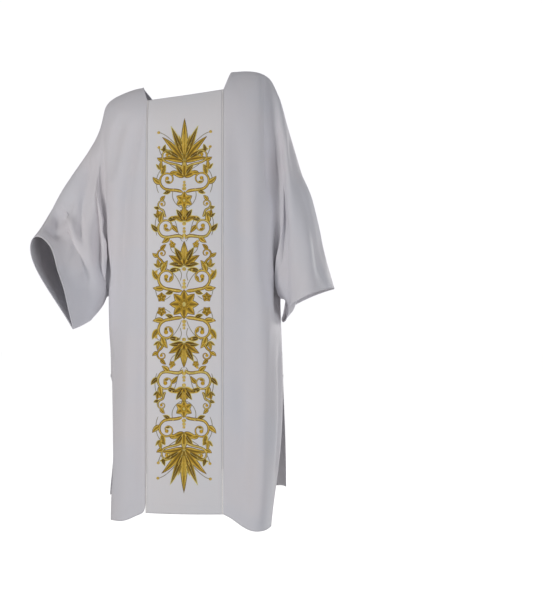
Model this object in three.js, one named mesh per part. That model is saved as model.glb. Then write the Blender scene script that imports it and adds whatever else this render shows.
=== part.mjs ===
// A deacon's dalmatic in white cloth, kept in the hollow form that it has when it is worn: the
// wearer's right arm is bent forward and the left arm hangs. Millimetres, +Z up, front towards -Y,
// so the wearer's left is +X. The origin is the middle of the neck opening at shoulder height.
//
// It is cut as the real one is: an ornamental band down the front and one down the back, and four
// side panels, each in one piece with its half of a sleeve. A thin piping runs in each band seam.
import * as THREE from 'three';

// ---- Driving dimensions ----
const WALL = 1.6; // cloth with its turned edges and seam allowances
const SEAM_GAP = 0.3;
const UNDERARM_GAP = 1; // where side seam and sleeve seam meet
const SHARPEST_TURN = 0.45; // least share of a wall's straight offset used at a sharp edge
const BAND_HALF = 96; // half the width of the ornamental band
const PIPING_WIDTH = 3;
const PIPING_DEPTH = 2.8;
const SEAM_X = BAND_HALF + SEAM_GAP + PIPING_WIDTH + SEAM_GAP; // where the side panels begin
const NECK_HALF = 122; // centre line to the neck point on the shoulder
const CHEST_DROP = 180; // below here the cloth hangs, above it rounds over the shoulders
const UNDERARM_DROP = 602;
const SLIT_DROP = 800; // top of the open side slits
const SECTION_POWER = 2.6; // squareness of the body's rounded section
const ARMHOLE_TUCK = 0.05; // share of the half-width by which the armhole stands inside it
const TUCK_FADE = 2.5; // power by which the tuck is kept down the armhole
const SLIT_FLARE = 0.8; // power by which a slit opens towards the hem
const FOLD_REACH = 1200; // drop at which a body fold reaches its 'to' share
const FOLD_FADE = 0.5; // power by which sleeve folds fade in from the sleeve's seams
const ARMHOLE_BLEND = 2; // power by which a sleeve leaves the body's last column
const SAME_POINT = 0.05; // points of two panels nearer than this are one seam point

// Mesh resolution: rows down the garment, columns across its panels
const SHOULDER_ROWS = 5;
const ARM_ROWS = 11;
const SIDE_ROWS = 5;
const SLIT_ROWS = 9;
const BODY_COLUMNS = 8;
const NECK_COLUMNS = 3; // of the body columns, those that end on the neckline
const SLEEVE_COLUMNS = 11;
const BAND_COLUMNS = 5;
const ARC_SAMPLES = 72; // steps used to measure a section's length

const UNDERARM_ROW = SHOULDER_ROWS + ARM_ROWS;
const SLIT_ROW = UNDERARM_ROW + SIDE_ROWS;
const HEM_ROW = SLIT_ROW + SLIT_ROWS;

// Shoulder line from the wearer's right tip to the left tip; the left shoulder sits higher
const SHOULDER_LINE = [
  { x: -226, z: -62 },
  { x: -213, z: -51 },
  { x: -165, z: -31 },
  { x: -122, z: -20 },
  { x: 0, z: 0 },
  { x: 122, z: 17 },
  { x: 165, z: 20 },
  { x: 211, z: 12 },
  { x: 226, z: 0 },
];

// Neckline of each face: height at the centre, rise per millimetre towards +X, and hollow
const NECKLINE = {
  front: { z: -74, rise: 0.13, hollow: 3 },
  back: { z: -26, rise: 0.12, hollow: 6 },
};

// Half-widths and depths of the hanging body at each drop below the shoulders
const SECTIONS = [
  {
    drop: 180,
    frontLeft: 235, frontRight: 238, backLeft: 235, backRight: 238,
    front: 132, back: 122,
  },
  {
    drop: 350,
    frontLeft: 231, frontRight: 243, backLeft: 231, backRight: 243,
    front: 141, back: 131,
  },
  {
    drop: 602,
    frontLeft: 217, frontRight: 252, backLeft: 217, backRight: 252,
    front: 147, back: 142,
  },
  {
    drop: 800,
    frontLeft: 213, frontRight: 258, backLeft: 213, backRight: 258,
    front: 150, back: 151,
  },
  {
    drop: 1000,
    frontLeft: 211, frontRight: 253, backLeft: 219, backRight: 267,
    front: 151, back: 159,
  },
  {
    drop: 1200,
    frontLeft: 208, frontRight: 232, backLeft: 223, backRight: 271,
    front: 152, back: 166,
  },
];

// Hem of each side panel: height at the band seam, further drop past the seam and at the slit,
// and how far the slit edge stands back from the side line at the hem
const HEMS = {
  frontLeft: { seam: -1157, middle: 27, side: 41, slitBack: 34 },
  frontRight: { seam: -1157, middle: 40, side: 50, slitBack: 58 },
  backLeft: { seam: -1096, middle: 46, side: 52, slitBack: 26 },
  backRight: { seam: -1096, middle: 42, side: 22, slitBack: 22 },
};
const SEAM_CALM = 0.22; // share of a side panel over which its folds fade in from the band seam
const SIDE_CALM = 0.15; // the same towards the armhole and the side
const HEM_MIDDLE = 0.4; // share of the way round at which the middle drop is reached

// Large hanging folds of the body. 'from' and 'to' are shares of the way from band seam to side
// at the fold's start and at the hem; the fold grows from 'start' to 'full' and is gone at 'end'.
// Depth is outwards, so a trough is negative.
const BODY_FOLDS = [
  {
    face: 'front', side: 1, start: 560, full: 1150, end: 1500,
    from: 0.5, to: 0.46, width: 0.27, depth: 40,
  },
  {
    face: 'front', side: 1, start: 240, full: 420, end: 980,
    from: 0.62, to: 0.86, width: 0.14, depth: -11,
  },
  {
    face: 'front', side: -1, start: 190, full: 330, end: 1050,
    from: 0.34, to: 0.62, width: 0.13, depth: -10,
  },
  {
    face: 'front', side: -1, start: 620, full: 1150, end: 1500,
    from: 0.55, to: 0.5, width: 0.3, depth: 14,
  },
  {
    face: 'back', side: 1, start: 420, full: 1100, end: 1500,
    from: 0.36, to: 0.27, width: 0.16, depth: 42,
  },
  {
    face: 'back', side: 1, start: 300, full: 700, end: 1500,
    from: 0.66, to: 0.6, width: 0.13, depth: -16,
  },
  {
    face: 'back', side: -1, start: 420, full: 1100, end: 1500,
    from: 0.38, to: 0.32, width: 0.19, depth: 46,
  },
  {
    face: 'back', side: -1, start: 260, full: 620, end: 1500,
    from: 0.7, to: 0.72, width: 0.12, depth: -15,
  },
];

// Loops of the right sleeve (bent arm, -X) and the left one (hanging arm, +X) from the armhole,
// along 0, to the cuff, along 1. Top is on the overarm seam and under on the underarm seam. The
// two halves swell square to the arm by 'front' and 'back' between the seams, turned towards the
// body by 'inward' degrees. 'peak' below 1 moves the widest place up and 'blunt' below 1 rounds
// the loop's two edges.
const SLEEVES = {
  '-1': [
    {
      along: 0,
      topX: -226, topY: 0, topZ: -62,
      underX: -217, underY: 0, underZ: -602,
      front: 58, back: 56, inward: 0, peak: 1, blunt: 0.7,
    },
    {
      along: 0.1,
      topX: -234, topY: 0, topZ: -98,
      underX: -229, underY: 0, underZ: -606,
      front: 64, back: 58, inward: 0, peak: 1, blunt: 0.7,
    },
    {
      along: 0.24,
      topX: -250, topY: 0, topZ: -150,
      underX: -230, underY: -12, underZ: -620,
      front: 74, back: 62, inward: 0, peak: 0.95, blunt: 0.75,
    },
    {
      along: 0.5,
      topX: -318, topY: 2, topZ: -252,
      underX: -243, underY: -40, underZ: -648,
      front: 80, back: 56, inward: 0, peak: 0.8, blunt: 0.8,
    },
    {
      along: 0.72,
      topX: -375, topY: -8, topZ: -346,
      underX: -257, underY: -78, underZ: -671,
      front: 64, back: 46, inward: 0, peak: 0.65, blunt: 0.9,
    },
    {
      along: 0.86,
      topX: -379, topY: -80, topZ: -402,
      underX: -272, underY: -108, underZ: -683,
      front: 46, back: 40, inward: 0, peak: 0.55, blunt: 1,
    },
    {
      along: 1,
      topX: -386, topY: -152, topZ: -447,
      underX: -288, underY: -132, underZ: -691,
      front: 33, back: 34, inward: 0, peak: 0.5, blunt: 1.1,
    },
  ],
  1: [
    {
      along: 0,
      topX: 226, topY: 0, topZ: 0,
      underX: 252, underY: 0, underZ: -602,
      front: 62, back: 58, inward: 0, peak: 1, blunt: 0.7,
    },
    {
      along: 0.08,
      topX: 238, topY: 0, topZ: -26,
      underX: 261, underY: 0, underZ: -603,
      front: 66, back: 62, inward: 0, peak: 1, blunt: 0.7,
    },
    {
      along: 0.2,
      topX: 253, topY: 0, topZ: -74,
      underX: 270, underY: -4, underZ: -608,
      front: 76, back: 72, inward: 4, peak: 1, blunt: 0.65,
    },
    {
      along: 0.5,
      topX: 298, topY: 0, topZ: -222,
      underX: 273, underY: -14, underZ: -622,
      front: 96, back: 90, inward: 10, peak: 1, blunt: 0.6,
    },
    {
      along: 0.75,
      topX: 345, topY: -2, topZ: -384,
      underX: 273, underY: -25, underZ: -638,
      front: 108, back: 100, inward: 16, peak: 1, blunt: 0.55,
    },
    {
      along: 1,
      topX: 399, topY: -6, topZ: -576,
      underX: 270, underY: -36, underZ: -656,
      front: 116, back: 106, inward: 22, peak: 1, blunt: 0.5,
    },
  ],
};

// Large folds of the sleeves, each along a line from one place to another on the half sleeve.
// 'along' runs from armhole to cuff and 'down' from overarm to underarm seam.
const SLEEVE_FOLDS = [
  {
    face: 'front', side: -1, width: 42, depth: 13,
    alongFrom: 0.8, downFrom: 0.05, alongTo: 0.5, downTo: 0.62,
  },
  {
    face: 'front', side: -1, width: 42, depth: -13,
    alongFrom: 0.36, downFrom: 0.12, alongTo: 0.3, downTo: 0.7,
  },
  {
    face: 'front', side: -1, width: 36, depth: -9,
    alongFrom: 0.88, downFrom: 0, alongTo: 0.7, downTo: 0.16,
  },
  {
    face: 'back', side: -1, width: 45, depth: -12,
    alongFrom: 0.62, downFrom: 0.1, alongTo: 0.45, downTo: 0.75,
  },
  {
    face: 'front', side: 1, width: 42, depth: -9,
    alongFrom: 0.1, downFrom: 0.12, alongTo: 0.55, downTo: 0.72,
  },
  {
    face: 'back', side: 1, width: 45, depth: -12,
    alongFrom: 0.12, downFrom: 0.15, alongTo: 0.6, downTo: 0.7,
  },
];
const SLEEVE_LENGTH = 600; // along the overarm, for measuring distances to a fold
const SLEEVE_DEPTH = 420; // from overarm to underarm seam
const ARM_TURN = 0.45; // share of the sleeve over which the loops turn square to the arm
const ARM_STEP = 0.03; // share of the sleeve used to find the arm's direction

// Sign of Y that each face looks to
const FACES = { front: -1, back: 1 };
const UP = new THREE.Vector3(0, 0, 1);
const { lerp, smoothstep, degToRad, clamp } = THREE.MathUtils;

// Reads every named column of a table at one value of its key, on a smooth curve through its rows
function readTable(rows, key, at) {
  const last = rows.length - 1;
  const place = clamp(at, rows[0][key], rows[last][key]);
  let low = 0;
  while (low < last - 1 && rows[low + 1][key] < place) low++;
  const span = rows[low + 1][key] - rows[low][key];
  const share = (place - rows[low][key]) / span;
  const slope = (row, column) => {
    const before = rows[Math.max(row - 1, 0)];
    const after = rows[Math.min(row + 1, last)];
    return ((after[column] - before[column]) / (after[key] - before[key])) * span;
  };
  const found = {};
  for (const column of Object.keys(rows[0])) {
    const from = rows[low][column];
    const to = rows[low + 1][column];
    const s2 = share * share;
    const s3 = s2 * share;
    found[column] =
      (2 * s3 - 3 * s2 + 1) * from +
      (s3 - 2 * s2 + share) * slope(low, column) +
      (3 * s2 - 2 * s3) * to +
      (s3 - s2) * slope(low + 1, column);
  }
  return found;
}

const panelKey = (face, side) => face + (side < 0 ? 'Left' : 'Right');
const shoulderHeight = (x) => readTable(SHOULDER_LINE, 'x', x).z;

// Width and depth of one quarter of the body's section
function quarter(face, side, drop) {
  const section = readTable(SECTIONS, 'drop', drop);
  return { width: section[panelKey(face, side)], depth: section[face] };
}

// Depth of the body's surface at a distance x from the centre line
function depthAt(face, x, drop) {
  const { width, depth } = quarter(face, Math.sign(x) || 1, drop);
  const share = Math.min(Math.abs(x) / width, 1);
  return depth * (1 - share ** SECTION_POWER) ** (1 / SECTION_POWER);
}

// Height of the neckline between the neck points
function neckHeight(face, x) {
  const line = NECKLINE[face];
  const corner = clamp(x, -SEAM_X, SEAM_X);
  const across = corner / SEAM_X;
  const level = line.z + line.rise * corner - line.hollow * (1 - across * across);
  const rising = clamp((Math.abs(x) - SEAM_X) / (NECK_HALF - SEAM_X), 0, 1);
  return lerp(level, shoulderHeight(x), rising);
}

// Angle over the shoulder at which a column starts: 0 on the shoulder line
function startAngle(face, x) {
  if (Math.abs(x) >= NECK_HALF) return 0;
  const reach = (neckHeight(face, x) + CHEST_DROP) / (shoulderHeight(x) + CHEST_DROP);
  return Math.acos(clamp(reach, 0, 1));
}

// Distance from the centre line of a column that ends on the neckline's side, by equal angles
function neckColumn(face, side, share) {
  const corner = startAngle(face, side * SEAM_X);
  const climb = Math.cos(corner * (1 - share)) - Math.cos(corner);
  return lerp(SEAM_X, NECK_HALF, climb / (1 - Math.cos(corner)));
}

// Height of the hem at a share of the way from the band seam to the side
function hemHeight(face, side, share) {
  const hem = HEMS[panelKey(face, side)];
  const past = smoothstep(share, 0, HEM_MIDDLE) * hem.middle;
  return hem.seam - lerp(past, hem.side, smoothstep(share, HEM_MIDDLE, 1));
}

// Distance below the shoulders of a row under the chest, for a given hem height
function rowDrop(row, hemZ) {
  if (row <= UNDERARM_ROW) return lerp(CHEST_DROP, UNDERARM_DROP, (row - SHOULDER_ROWS) / ARM_ROWS);
  if (row <= SLIT_ROW) return lerp(UNDERARM_DROP, SLIT_DROP, (row - UNDERARM_ROW) / SIDE_ROWS);
  return lerp(SLIT_DROP, -hemZ, (row - SLIT_ROW) / SLIT_ROWS);
}

// How far the hanging folds push the cloth outwards
function bodyFold(face, side, share, drop) {
  let push = 0;
  for (const fold of BODY_FOLDS) {
    if (fold.face !== face || fold.side !== side) continue;
    const gone = smoothstep(drop, fold.full, fold.end);
    const strength = smoothstep(drop, fold.start, fold.full) * (1 - gone);
    const centre = lerp(fold.from, fold.to, clamp((drop - fold.start) / (FOLD_REACH - fold.start), 0, 1));
    const across = (share - centre) / fold.width;
    push += fold.depth * strength * Math.exp(-across * across);
  }
  return push * smoothstep(share, 0, SEAM_CALM) * smoothstep(1 - share, 0, SIDE_CALM);
}

// Angle round the section at which a body row ends: at the armhole, the side seam or the slit
function endAngle(face, side, row, drop) {
  const { depth } = quarter(face, side, drop);
  if (row <= UNDERARM_ROW) {
    const down = (drop - CHEST_DROP) / (UNDERARM_DROP - CHEST_DROP);
    const tuck = ARMHOLE_TUCK * Math.cos((down ** TUCK_FADE * Math.PI) / 2);
    return Math.acos((1 - tuck) ** (SECTION_POWER / 2));
  }
  if (row <= SLIT_ROW) return 0;
  const hem = HEMS[panelKey(face, side)];
  const open = clamp((drop - SLIT_DROP) / (-hem.seam - SLIT_DROP), 0, 1);
  const back = hem.slitBack * open ** SLIT_FLARE;
  return Math.asin((back / depth) ** (SECTION_POWER / 2));
}

// One point of the section below the chest, at a share of its length from seam to end
function sectionPoint(face, side, row, drop, share) {
  const { width, depth } = quarter(face, side, drop);
  const power = 2 / SECTION_POWER;
  const from = Math.acos((SEAM_X / width) ** (1 / power));
  const to = endAngle(face, side, row, drop);
  const at = (sample) => {
    const angle = lerp(from, to, sample / ARC_SAMPLES);
    return new THREE.Vector2(width * Math.cos(angle) ** power, depth * Math.sin(angle) ** power);
  };
  const lengths = [0];
  for (let k = 1; k <= ARC_SAMPLES; k++) {
    lengths.push(lengths[k - 1] + at(k).distanceTo(at(k - 1)));
  }
  const wanted = share * lengths[ARC_SAMPLES];
  let k = 1;
  while (k < ARC_SAMPLES && lengths[k] < wanted) k++;
  const within = (wanted - lengths[k - 1]) / (lengths[k] - lengths[k - 1]);
  const start = at(k - 1);
  const finish = at(k);
  const place = start.clone().lerp(finish, within);
  const outward = new THREE.Vector2(start.y - finish.y, finish.x - start.x).normalize();
  place.addScaledVector(outward, bodyFold(face, side, share, drop));
  return new THREE.Vector3(side * place.x, FACES[face] * place.y, -drop);
}

// A point between the shoulder line or neckline and the chest, on a quarter of an ellipse
function shoulderPoint(face, row, topX, chestX) {
  const down = row / SHOULDER_ROWS;
  const x = lerp(topX, chestX, down);
  const angle = lerp(startAngle(face, topX), Math.PI / 2, down);
  const z = -CHEST_DROP + (shoulderHeight(x) + CHEST_DROP) * Math.cos(angle);
  return new THREE.Vector3(x, FACES[face] * depthAt(face, x, CHEST_DROP) * Math.sin(angle), z);
}

// One point of a side panel's body
function bodyPoint(face, side, row, column) {
  const share = column / BODY_COLUMNS;
  if (row >= SHOULDER_ROWS) {
    return sectionPoint(face, side, row, rowDrop(row, hemHeight(face, side, share)), share);
  }
  const tip = Math.abs(SHOULDER_LINE[side < 0 ? 0 : SHOULDER_LINE.length - 1].x);
  const topX =
    column <= NECK_COLUMNS
      ? neckColumn(face, side, column / NECK_COLUMNS)
      : lerp(NECK_HALF, tip, (column - NECK_COLUMNS) / (BODY_COLUMNS - NECK_COLUMNS));
  const chestX = sectionPoint(face, side, SHOULDER_ROWS, CHEST_DROP, share).x;
  return shoulderPoint(face, row, side * topX, chestX);
}

// One point of a band or a piping, at a distance x from the centre line
function bandPoint(face, row, x) {
  if (row < SHOULDER_ROWS) return shoulderPoint(face, row, x, x);
  const side = Math.sign(x) || 1;
  const drop = rowDrop(row, hemHeight(face, side, 0));
  return new THREE.Vector3(x, FACES[face] * depthAt(face, x, drop), -drop);
}

// Directions at a band seam: along the cloth away from the centre, and outwards
function seamFrame(face, row, x) {
  const above = bandPoint(face, Math.max(row - 1, 0), x);
  const tangent = bandPoint(face, Math.min(row + 1, HEM_ROW), x).sub(above).normalize();
  const beside = bandPoint(face, row, x + 1).sub(bandPoint(face, row, x - 1));
  beside.addScaledVector(tangent, -beside.dot(tangent)).normalize();
  const outward = new THREE.Vector3().crossVectors(tangent, beside).multiplyScalar(-FACES[face]);
  return { beside, outward };
}

// How far the sleeve folds push the half sleeve outwards
function sleeveFold(face, side, along, down) {
  let push = 0;
  for (const fold of SLEEVE_FOLDS) {
    if (fold.face !== face || fold.side !== side) continue;
    const from = new THREE.Vector2(fold.alongFrom * SLEEVE_LENGTH, fold.downFrom * SLEEVE_DEPTH);
    const to = new THREE.Vector2(fold.alongTo * SLEEVE_LENGTH, fold.downTo * SLEEVE_DEPTH);
    const here = new THREE.Vector2(along * SLEEVE_LENGTH, down * SLEEVE_DEPTH);
    const line = to.clone().sub(from);
    const share = clamp(here.clone().sub(from).dot(line) / line.lengthSq(), 0, 1);
    const away = here.distanceTo(from.addScaledVector(line, share)) / fold.width;
    push += fold.depth * Math.exp(-away * away);
  }
  return push * Math.sin(Math.PI * clamp(down, 0, 1)) ** FOLD_FADE;
}

// A place on the straight line from overarm to underarm seam
function chordPoint(side, along, down) {
  const loop = readTable(SLEEVES[side], 'along', clamp(along, 0, 1));
  return new THREE.Vector3(
    lerp(loop.topX, loop.underX, down),
    lerp(loop.topY, loop.underY, down),
    lerp(loop.topZ, loop.underZ, down),
  );
}

// One point of a half sleeve before it is joined to the armhole
function loopPoint(face, side, along, down) {
  const loop = readTable(SLEEVES[side], 'along', along);
  const arm = chordPoint(side, along + ARM_STEP, down);
  arm.sub(chordPoint(side, along - ARM_STEP, down));
  const chord = chordPoint(side, along, 1).sub(chordPoint(side, along, 0));
  const swell = arm.cross(chord).normalize().multiplyScalar(side * FACES[face]);
  const straight = new THREE.Vector3(0, FACES[face], 0);
  swell.lerp(straight, 1 - smoothstep(along, 0, ARM_TURN)).normalize();
  swell.applyAxisAngle(UP, degToRad(loop.inward) * side * FACES[face]);
  const round = down < 1 ? Math.sin(Math.PI * down ** loop.peak) ** loop.blunt : 0;
  const push = loop[face] * round + sleeveFold(face, side, along, down);
  return chordPoint(side, along, down).addScaledVector(swell, push);
}

// One point of a half sleeve, which leaves the body's last column smoothly
function sleevePoint(face, side, row, column) {
  const tip = bodyPoint(face, side, 0, BODY_COLUMNS);
  const armhole = bodyPoint(face, side, row, BODY_COLUMNS);
  const down = (tip.z - armhole.z) / (tip.z + UNDERARM_DROP);
  const along = column / SLEEVE_COLUMNS;
  const joined = armhole.sub(loopPoint(face, side, 0, down));
  const kept = (1 - along) ** ARMHOLE_BLEND;
  return loopPoint(face, side, along, down).addScaledVector(joined, kept);
}

// A panel's points and quads; a grid place without a point is left out
function gridPanel(name, rows, columns, pointAt, clockwise) {
  const panel = { name, points: [], quads: [], index: new Map(), seams: [], bandEdge: [] };
  for (let row = 0; row <= rows; row++) {
    for (let column = 0; column <= columns; column++) {
      const point = pointAt(row, column);
      if (!point) continue;
      panel.index.set(`${row},${column}`, panel.points.length);
      panel.points.push(point);
    }
  }
  for (let row = 0; row < rows; row++) {
    for (let column = 0; column < columns; column++) {
      const corners = [[row, column], [row + 1, column], [row + 1, column + 1], [row, column + 1]];
      const quad = corners.map(([r, c]) => panel.index.get(`${r},${c}`));
      if (quad.some((corner) => corner === undefined)) continue;
      panel.quads.push(clockwise ? quad.reverse() : quad);
    }
  }
  return panel;
}

// Makes a panel's edge at a band seam stand square, as the piping's side does
function addBandEdge(panel, face, row, column, x) {
  const at = panel.index.get(`${row},${column}`);
  panel.bandEdge.push({ at, normal: seamFrame(face, row, x).outward });
}

function sidePanel(face, side) {
  const name = `${face}_side_${side < 0 ? 'right' : 'left'}_with_sleeve`;
  const columns = BODY_COLUMNS + SLEEVE_COLUMNS;
  const pointAt = (row, column) => {
    if (column <= BODY_COLUMNS) return bodyPoint(face, side, row, column);
    return row <= UNDERARM_ROW ? sleevePoint(face, side, row, column - BODY_COLUMNS) : null;
  };
  const panel = gridPanel(name, HEM_ROW, columns, pointAt, FACES[face] * side > 0);
  const seam = (row, column, towards, gap = SEAM_GAP) => {
    const inner = panel.points[panel.index.get(towards)].clone();
    panel.seams.push({ at: panel.index.get(`${row},${column}`), inner, gap });
  };
  for (let row = 0; row <= HEM_ROW; row++) addBandEdge(panel, face, row, 0, side * SEAM_X);
  for (let column = NECK_COLUMNS; column <= columns; column++) seam(0, column, `1,${column}`);
  for (let column = BODY_COLUMNS + 1; column <= columns; column++) {
    seam(UNDERARM_ROW, column, `${UNDERARM_ROW - 1},${column}`);
  }
  seam(UNDERARM_ROW, BODY_COLUMNS, `${UNDERARM_ROW},${BODY_COLUMNS - 1}`, UNDERARM_GAP);
  for (let row = UNDERARM_ROW + 1; row <= SLIT_ROW; row++) {
    seam(row, BODY_COLUMNS, `${row},${BODY_COLUMNS - 1}`);
  }
  return panel;
}

function bandPanel(face) {
  const pointAt = (row, column) =>
    bandPoint(face, row, lerp(-BAND_HALF, BAND_HALF, column / BAND_COLUMNS));
  const panel = gridPanel(`${face}_band`, HEM_ROW, BAND_COLUMNS, pointAt, FACES[face] > 0);
  for (let row = 0; row <= HEM_ROW; row++) {
    addBandEdge(panel, face, row, 0, -BAND_HALF);
    addBandEdge(panel, face, row, BAND_COLUMNS, BAND_HALF);
  }
  return panel;
}

// Offset directions of every point, shared by the panels that meet there. Each is long enough to
// keep the wall's thickness where the cloth turns sharply.
function sharedNormals(panels) {
  const faceNormals = new Map();
  const rounded = (value) => Math.round(value / SAME_POINT) + 0; // + 0 turns -0 into 0
  const key = (point) => point.toArray().map(rounded).join(' ');
  for (const panel of panels) {
    for (const [a, b, c, d] of panel.quads) {
      const across = panel.points[c].clone().sub(panel.points[a]);
      const normal = across.cross(panel.points[d].clone().sub(panel.points[b])).normalize();
      for (const corner of [a, b, c, d]) {
        const place = key(panel.points[corner]);
        if (!faceNormals.has(place)) faceNormals.set(place, []);
        faceNormals.get(place).push(normal);
      }
    }
  }
  return panels.map((panel) => {
    const normals = panel.points.map((point) => {
      const around = faceNormals.get(key(point));
      const sum = around.reduce((total, normal) => total.add(normal), new THREE.Vector3());
      const straight = sum.length() / around.length;
      return sum.normalize().multiplyScalar(1 / Math.max(straight, SHARPEST_TURN));
    });
    for (const { at, normal } of panel.bandEdge) normals[at].copy(normal);
    return normals;
  });
}

// Draws a panel's seam edges back by half their gap, along the cloth
function openSeams(panel, normals) {
  for (const { at, inner, gap } of panel.seams) {
    const away = inner.clone().sub(panel.points[at]);
    away.projectOnPlane(normals[at].clone().normalize()).normalize();
    panel.points[at].addScaledVector(away, gap / 2);
  }
}

// A closed wall of cloth about a panel's middle surface
function clothWall(panel, normals) {
  const count = panel.points.length;
  const positions = [];
  for (const level of [WALL / 2, -WALL / 2]) {
    panel.points.forEach((point, at) => {
      positions.push(...point.clone().addScaledVector(normals[at], level).toArray());
    });
  }
  const triangles = [];
  const edges = new Map();
  for (const quad of panel.quads) {
    const [a, b, c, d] = quad;
    triangles.push(a, b, c, a, c, d);
    triangles.push(c + count, b + count, a + count, d + count, c + count, a + count);
    quad.forEach((from, k) => {
      const to = quad[(k + 1) % 4];
      edges.set(`${from},${to}`, [from, to]);
    });
  }
  for (const [from, to] of edges.values()) {
    if (edges.has(`${to},${from}`)) continue;
    triangles.push(from, from + count, to + count, from, to + count, to);
  }
  const geometry = new THREE.BufferGeometry();
  geometry.setAttribute('position', new THREE.Float32BufferAttribute(positions, 3));
  geometry.setIndex(triangles);
  geometry.computeVertexNormals();
  return geometry;
}

// A piping that fills one band seam: a square cord swept down the seam line
function pipingGeometry(face, side) {
  const x = side * (BAND_HALF + SEAM_GAP + PIPING_WIDTH / 2);
  const line = [];
  for (let row = 0; row <= HEM_ROW; row++) line.push(bandPoint(face, row, x));
  const corners = [[-1, -1], [1, -1], [1, 1], [-1, 1]];
  const reach = face === 'front' ? corners.reverse() : corners;
  const positions = [];
  line.forEach((point, row) => {
    const { beside, outward } = seamFrame(face, row, x);
    for (const [across, out] of reach) {
      const corner = point.clone().addScaledVector(beside, (across * PIPING_WIDTH) / 2);
      positions.push(...corner.addScaledVector(outward, (out * PIPING_DEPTH) / 2).toArray());
    }
  });
  const triangles = [0, 1, 2, 0, 2, 3];
  for (let row = 0; row < HEM_ROW; row++) {
    for (let k = 0; k < 4; k++) {
      const a = row * 4 + k;
      const b = row * 4 + ((k + 1) % 4);
      triangles.push(a, a + 4, b + 4, a, b + 4, b);
    }
  }
  const last = HEM_ROW * 4;
  triangles.push(last, last + 2, last + 1, last, last + 3, last + 2);
  const geometry = new THREE.BufferGeometry();
  geometry.setAttribute('position', new THREE.Float32BufferAttribute(positions, 3));
  geometry.setIndex(triangles);
  geometry.computeVertexNormals();
  return geometry;
}

// Finishes of the three cloths: colour and roughness
const FINISHES = {
  cloth: { color: 0xd6d4da, roughness: 0.85 },
  band: { color: 0xe3e0e2, roughness: 0.55 },
  piping: { color: 0xe9e6e2, roughness: 0.5 },
};

const dalmatic = new THREE.Group();
dalmatic.name = 'dalmatic';

function addPiece(name, geometry, finish) {
  const mesh = new THREE.Mesh(geometry, new THREE.MeshStandardMaterial(FINISHES[finish]));
  mesh.name = name;
  dalmatic.add(mesh);
}

const faces = Object.keys(FACES);
const panels = [
  ...faces.map((face) => ({ ...bandPanel(face), finish: 'band' })),
  ...faces.flatMap((face) => [-1, 1].map((side) => ({ ...sidePanel(face, side), finish: 'cloth' }))),
];
const normals = sharedNormals(panels);
panels.forEach((panel, at) => {
  openSeams(panel, normals[at]);
  addPiece(panel.name, clothWall(panel, normals[at]), panel.finish);
});
for (const face of faces) {
  for (const side of [-1, 1]) {
    const name = `${face}_piping_${side < 0 ? 'right' : 'left'}`;
    addPiece(name, pipingGeometry(face, side), 'piping');
  }
}

export default dalmatic;
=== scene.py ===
import math

import bmesh
import bpy
import numpy as np
from bpy.props import FloatProperty, FloatVectorProperty, IntProperty, PointerProperty
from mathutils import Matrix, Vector
from mathutils.bvhtree import BVHTree
from mathutils.kdtree import KDTree


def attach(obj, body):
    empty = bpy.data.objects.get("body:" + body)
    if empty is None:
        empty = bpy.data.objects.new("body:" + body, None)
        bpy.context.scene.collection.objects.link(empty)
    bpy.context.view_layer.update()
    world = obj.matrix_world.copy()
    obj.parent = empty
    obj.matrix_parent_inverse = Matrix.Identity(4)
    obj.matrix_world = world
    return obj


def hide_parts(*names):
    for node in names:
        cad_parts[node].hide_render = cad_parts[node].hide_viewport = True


bl_info = {
    "name": "Dalmatic",
    "version": (1, 0, 0),
    "blender": (4, 5, 0),
    "location": "View3D > Sidebar > Dalmatic",
    "description": "A white dalmatic with embroidered bands, on its packed CAD frame",
    "category": "Object",
}

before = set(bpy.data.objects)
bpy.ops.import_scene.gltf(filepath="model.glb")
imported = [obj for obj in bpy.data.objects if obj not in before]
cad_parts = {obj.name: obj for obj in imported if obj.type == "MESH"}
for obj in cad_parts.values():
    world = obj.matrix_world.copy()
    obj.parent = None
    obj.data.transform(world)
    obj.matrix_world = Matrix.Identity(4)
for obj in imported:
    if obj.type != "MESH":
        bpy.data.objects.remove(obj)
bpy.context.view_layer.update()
BODY = "root"

MM = 0.001
RIM_EDGE = 3.7 * MM  # the longest edge across a CAD wall's rim
SEAM_WELD = 1.2 * MM  # the widest gap between two sheets that are sewn together
SEAM_X = 99.6 * MM  # where the side panels begin
NECK_X = 123.5 * MM
NECK_Z = -0.12
SLIT_Z = -0.79
EDGE_TOLERANCE = 1.0 * MM
SEAM_CALM = 30 * MM  # the creases fade out this near a side or shoulder seam
BAND_CALM = 24 * MM
SIDE_CREASE_FADE = 16 * MM
SEAM_PRESS = 0.6 * MM  # how far a sewn seam is pressed in
SEAM_PRESS_WIDTH = 3 * MM
BAND_SEAM_OFFSET = 1.4 * MM  # keeps the bands' seams paler than the others: less painted shade and a fainter pressed line
BAND_HALF = 96 * MM
PIPING_SEGMENTS = 10
PIPING_OUT = 1.8 * MM  # the piping's middle, outside the band's edge
PIPING_DOWN = 0.5 * MM
PIPING_RADII = (1.48 * MM, 1.38 * MM)
EMBROIDERY_LIFT = 0.12 * MM
THREAD_PITCH = 0.75 * MM
SLIT_TURN, NECK_TURN = 13 * MM, 10 * MM  # widths of the turned edges at the slits and the neck
TURN_STEP = 0.6 * MM
STITCH_INSET = 2 * MM
OBJECT_AIM = Vector((0, 0, -0.6))


def table(columns, *rows):
    """Rows of values as dictionaries, by the names of their columns."""
    return [dict(zip(columns.split(), row)) for row in rows]


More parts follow.
